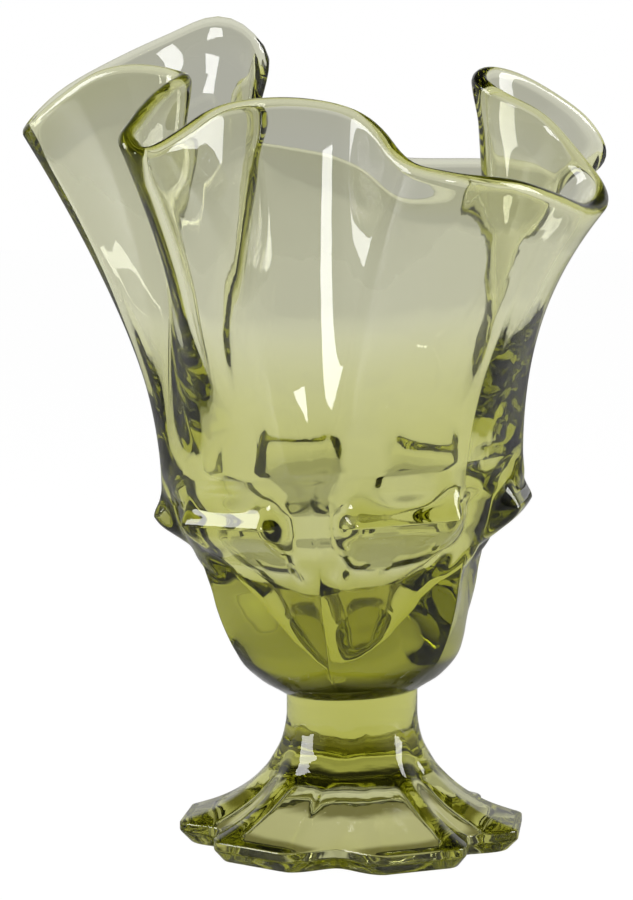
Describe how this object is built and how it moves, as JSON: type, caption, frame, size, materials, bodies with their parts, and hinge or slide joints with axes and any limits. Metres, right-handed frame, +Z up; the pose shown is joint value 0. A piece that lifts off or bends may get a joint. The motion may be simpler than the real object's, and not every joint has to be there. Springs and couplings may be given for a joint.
{
  "type": "handkerchief vase",
  "caption": "Footed pressed-glass vase: thick faceted bowl with ledges, flared wall folded into a wavy handkerchief rim, solid stem on a hollow lobed base; holds water and cut flowers.",
  "frame": {"origin": "on the table, under the middle of the box that the vase fills; the stem stands 9.5 mm to the right of it and 3.8 mm in front of it", "axes": "+Z up through the stem to the rim; the front of the vase looks along -Y and +X is to its right as seen from the front"},
  "size_m": [0.166, 0.1472, 0.2299],
  "materials": {
    "foot_glass": "fire-polished clear moss-green glass",
    "bowl_glass": "fire-polished clear moss-green glass"
  },
  "bodies": {
    "root": {"foot": "foot_glass", "bowl": "bowl_glass"}
  },
  "joints": []
}
